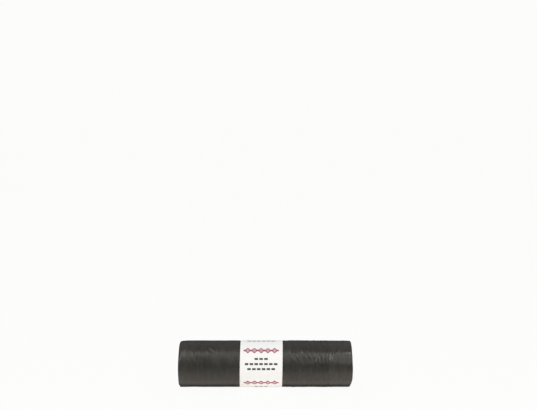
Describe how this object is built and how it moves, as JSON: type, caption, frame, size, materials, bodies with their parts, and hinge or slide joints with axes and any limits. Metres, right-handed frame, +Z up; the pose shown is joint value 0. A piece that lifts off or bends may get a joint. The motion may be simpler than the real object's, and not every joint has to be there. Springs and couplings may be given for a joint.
{
  "type": "bin bag roll",
  "caption": "Coreless roll of black bin bags lying on its side, with spiral turns at both ends and a white paper band glued round its middle.",
  "frame": {"origin": "middle of the footprint, on the surface that the roll rests on", "axes": "+X along the roll towards its right end, -Y towards the front, +Z up"},
  "size_m": [0.334, 0.0906, 0.0894],
  "materials": {
    "bag_film": "satin",
    "band_paper": "matte"
  },
  "bodies": {
    "root": {"bag_roll": "bag_film", "paper_band": "band_paper"}
  },
  "joints": []
}
